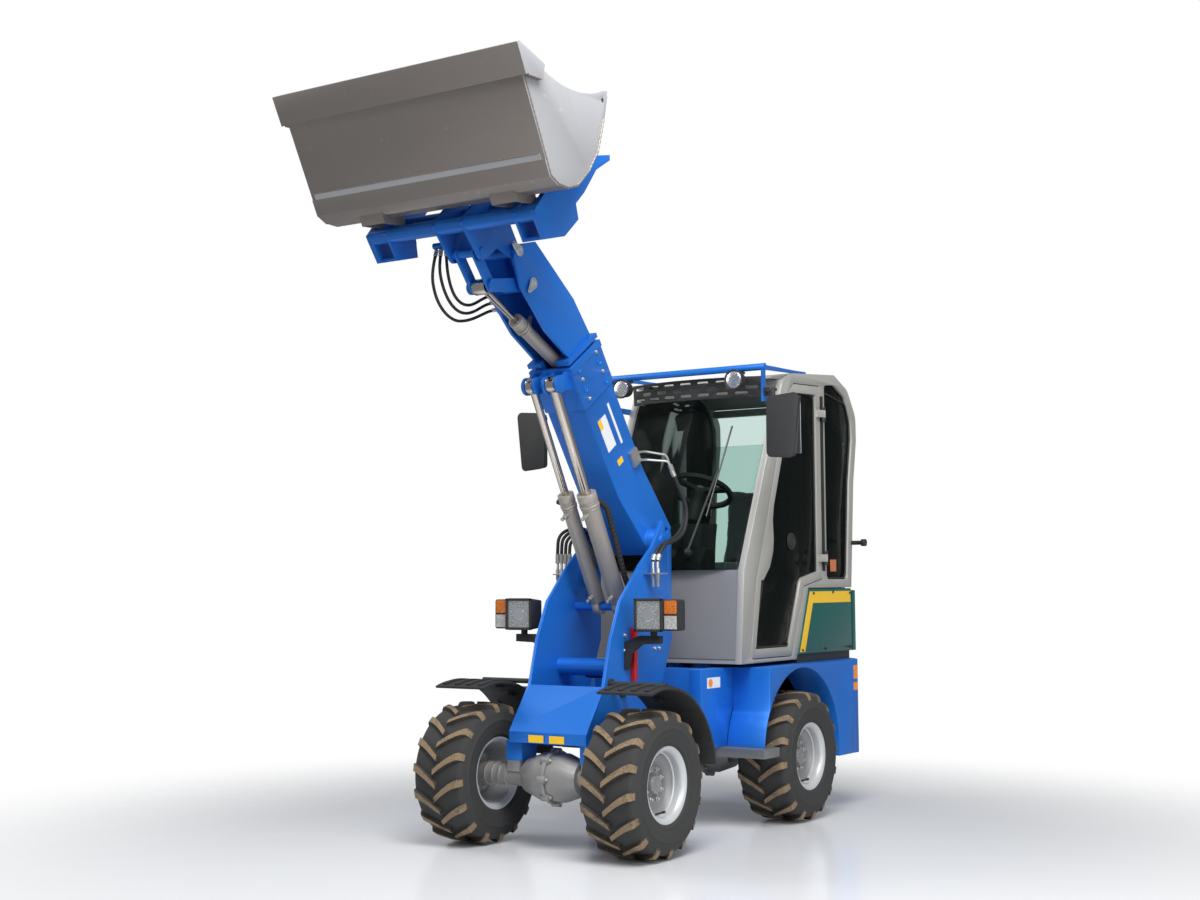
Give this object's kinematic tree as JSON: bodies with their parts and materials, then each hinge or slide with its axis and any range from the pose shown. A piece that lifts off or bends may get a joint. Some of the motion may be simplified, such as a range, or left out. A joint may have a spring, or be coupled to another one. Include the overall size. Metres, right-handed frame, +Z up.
{
  "type": "articulated wheel loader",
  "caption": "Compact articulated wheel loader with a raised telescopic boom, tilting bucket on a quick hitch, glazed cab with hinged door and rear hatch, and four spinning wheels.",
  "frame": {"origin": "on the floor, under the middle of the machine's box as parked", "axes": "+Z up, +Y to the rear of the machine, +X to its left"},
  "size_m": [1.6872, 3.5428, 3.3558],
  "materials": {
    "blue_paint": "satin",
    "bucket_metal": "worn bare",
    "cab_paint": "satin",
    "panel_paint": "satin",
    "cover_paint": "gloss",
    "axle_paint": "painted",
    "dark_iron": "raw",
    "rim_paint": "satin",
    "tyre_rubber": "dusty",
    "black_plastic": "matt",
    "black_metal": "satin",
    "red_plastic": "clear",
    "step_metal": "grating",
    "zinc": "plated",
    "hose_rubber": "braided",
    "barrel_paint": "satin",
    "chrome_rod": "polished",
    "red_paint": "gloss",
    "seat_cover": "woven",
    "tinted_glass": "tinted"
  },
  "bodies": {
    "rear_frame": {"rear_chassis": "blue_paint", "rear_axle": "axle_paint", "engine_block": "dark_iron", "side_tanks": "blue_paint", "rear_fenders": "blue_paint", "counterweight": "blue_paint", "engine_side_panels": "cover_paint", "cab_frame": "cab_paint", "cab_front_panel": "panel_paint", "cab_floor": "black_plastic", "cab_roof": "cab_paint", "cab_glass": "tinted_glass", "door_hinges": "black_metal", "sun_visor": "black_metal", "lamp_bar": "blue_paint", "work_lamps": "black_plastic", "mirrors": "black_plastic", "steps": "step_metal", "rear_lamps": "red_plastic", "seat": "seat_cover", "steering_column": "black_plastic", "console": "black_plastic"},
    "front_frame": {"boom_hose_1": "hose_rubber", "boom_hose_2": "hose_rubber", "front_chassis": "blue_paint", "front_axle": "axle_paint", "front_fenders": "black_plastic", "headlamps": "black_plastic", "horn": "black_plastic", "hose_couplings": "zinc", "safety_strut": "red_paint"},
    "boom": {"boom_outer": "blue_paint", "boom_pipes": "zinc"},
    "telescope": {"boom_inner": "blue_paint"},
    "bucket_group": {"hitch": "blue_paint", "bucket": "bucket_metal", "hitch_hose_1": "hose_rubber", "hitch_hose_2": "hose_rubber", "hitch_hose_3": "hose_rubber"},
    "rocker_arm": {"rocker": "blue_paint"},
    "tilt_link": {"link": "blue_paint"},
    "tilt_cylinder": {"tilt_barrel": "barrel_paint"},
    "tilt_piston": {"tilt_rod": "chrome_rod"},
    "lift_cylinder": {"lift_barrel": "barrel_paint"},
    "lift_piston": {"lift_rod": "chrome_rod"},
    "levelling_cylinder": {"levelling_barrel": "barrel_paint"},
    "levelling_piston": {"levelling_rod": "chrome_rod"},
    "steering_cylinder": {"steering_barrel": "black_metal"},
    "steering_piston": {"steering_rod": "chrome_rod"},
    "door": {"door_frame": "cab_paint", "door_glass": "tinted_glass"},
    "hatch": {"engine_hatch": "cab_paint"},
    "front_left_wheel": {"tyre_front_left": "tyre_rubber", "rim_front_left": "rim_paint"},
    "front_right_wheel": {"tyre_front_right": "tyre_rubber", "rim_front_right": "rim_paint"},
    "rear_left_wheel": {"tyre_rear_left": "tyre_rubber", "rim_rear_left": "rim_paint"},
    "rear_right_wheel": {"tyre_rear_right": "tyre_rubber", "rim_rear_right": "rim_paint"}
  },
  "joints": [
    {"name": "steer", "type": "hinge", "parent": "rear_frame", "child": "front_frame", "pos_m": [0, 0.142, 0.53], "axis": [0, 0, 1], "range_deg": [-40, 40]},
    {"name": "boom_lift", "type": "hinge", "parent": "front_frame", "child": "boom", "pos_m": [0, 0.031, 1.427], "axis": [-1, 0, 0], "range_deg": [-93, 0]},
    {"name": "boom_extend", "type": "slide", "parent": "boom", "child": "telescope", "axis": [0, -0.5707, 0.8211], "range_m": [0, 0.55]},
    {"name": "tilt", "type": "hinge", "parent": "telescope", "child": "bucket_group", "pos_m": [0, -1.004, 2.705], "axis": [1, 0, 0], "range_deg": [-35, 95]},
    {"name": "rocker_turn", "type": "hinge", "parent": "telescope", "child": "rocker_arm", "pos_m": [0, -0.896, 2.573], "axis": [1, 0, 0], "range_deg": [-35, 95]},
    {"name": "link_turn", "type": "hinge", "parent": "rocker_arm", "child": "tilt_link", "pos_m": [0, -1.133, 2.533], "axis": [1, 0, 0], "range_deg": [-95, 35]},
    {"name": "tilt_barrel_swing", "type": "hinge", "parent": "telescope", "child": "tilt_cylinder", "pos_m": [0, -0.46363, 2.21578], "axis": [1, 0, 0], "range_deg": [-1.75, 4.75]},
    {"name": "tilt_rod_slide", "type": "slide", "parent": "tilt_cylinder", "child": "tilt_piston", "axis": [0, -0.9037, 0.4283], "range_m": [-0.23214, 0.08553]},
    {"name": "lift_barrel_swing", "type": "hinge", "parent": "front_frame", "child": "lift_cylinder", "pos_m": [0.05, -0.099, 1.11], "axis": [-1, 0, 0], "range_deg": [-98.28, 0]},
    {"name": "lift_rod_slide", "type": "slide", "parent": "lift_cylinder", "child": "lift_piston", "axis": [0, -0.4763, 0.8793], "range_m": [-0.49021, 0.00001]},
    {"name": "levelling_barrel_swing", "type": "hinge", "parent": "front_frame", "child": "levelling_cylinder", "pos_m": [-0.07, -0.099, 1.11], "axis": [-1, 0, 0], "range_deg": [-98.28, 0]},
    {"name": "levelling_rod_slide", "type": "slide", "parent": "levelling_cylinder", "child": "levelling_piston", "axis": [0, -0.4763, 0.8793], "range_m": [-0.49021, 0.00001]},
    {"name": "steering_barrel_swing", "type": "hinge", "parent": "rear_frame", "child": "steering_cylinder", "pos_m": [0.12, 0.481, 0.32], "axis": [0, 0, 1], "range_deg": [-15, 15]},
    {"name": "steering_rod_slide", "type": "slide", "parent": "steering_cylinder", "child": "steering_piston", "axis": [0, -1, 0], "range_m": [-0.08169, 0.08169]},
    {"name": "door_swing", "type": "hinge", "parent": "rear_frame", "child": "door", "pos_m": [0.475, 1.316, 1.5], "axis": [0, 0, 1], "range_deg": [0, 168]},
    {"name": "hatch_swing", "type": "hinge", "parent": "rear_frame", "child": "hatch", "pos_m": [0, 1.703, 1.18], "axis": [1, 0, 0], "range_deg": [0, 65]},
    {"name": "front_left_wheel_spin", "type": "hinge", "parent": "front_frame", "child": "front_left_wheel", "pos_m": [0.4655, -0.569, 0.33], "axis": [1, 0, 0], "continuous": true},
    {"name": "front_right_wheel_spin", "type": "hinge", "parent": "front_frame", "child": "front_right_wheel", "pos_m": [-0.4655, -0.569, 0.33], "axis": [1, 0, 0], "continuous": true},
    {"name": "rear_left_wheel_spin", "type": "hinge", "parent": "rear_frame", "child": "rear_left_wheel", "pos_m": [0.4655, 0.853, 0.33], "axis": [1, 0, 0], "continuous": true},
    {"name": "rear_right_wheel_spin", "type": "hinge", "parent": "rear_frame", "child": "rear_right_wheel", "pos_m": [-0.4655, 0.853, 0.33], "axis": [1, 0, 0], "continuous": true}
  ],
  "couplings": [
    {"joint": "rocker_turn", "follows": "tilt", "ratio": 1},
    {"joint": "link_turn", "follows": "tilt", "ratio": -1},
    {"joint": "tilt_barrel_swing", "follows": "tilt", "ratio": 0.05},
    {"joint": "tilt_rod_slide", "follows": "tilt", "m_per_rad": -0.14},
    {"joint": "lift_barrel_swing", "follows": "boom_lift", "ratio": 1.0568},
    {"joint": "lift_rod_slide", "follows": "boom_lift", "m_per_rad": 0.302},
    {"joint": "levelling_barrel_swing", "follows": "boom_lift", "ratio": 1.0568},
    {"joint": "levelling_rod_slide", "follows": "boom_lift", "m_per_rad": 0.302},
    {"joint": "steering_barrel_swing", "follows": "steer", "ratio": 0.375},
    {"joint": "steering_rod_slide", "follows": "steer", "m_per_rad": -0.117}
  ]
}
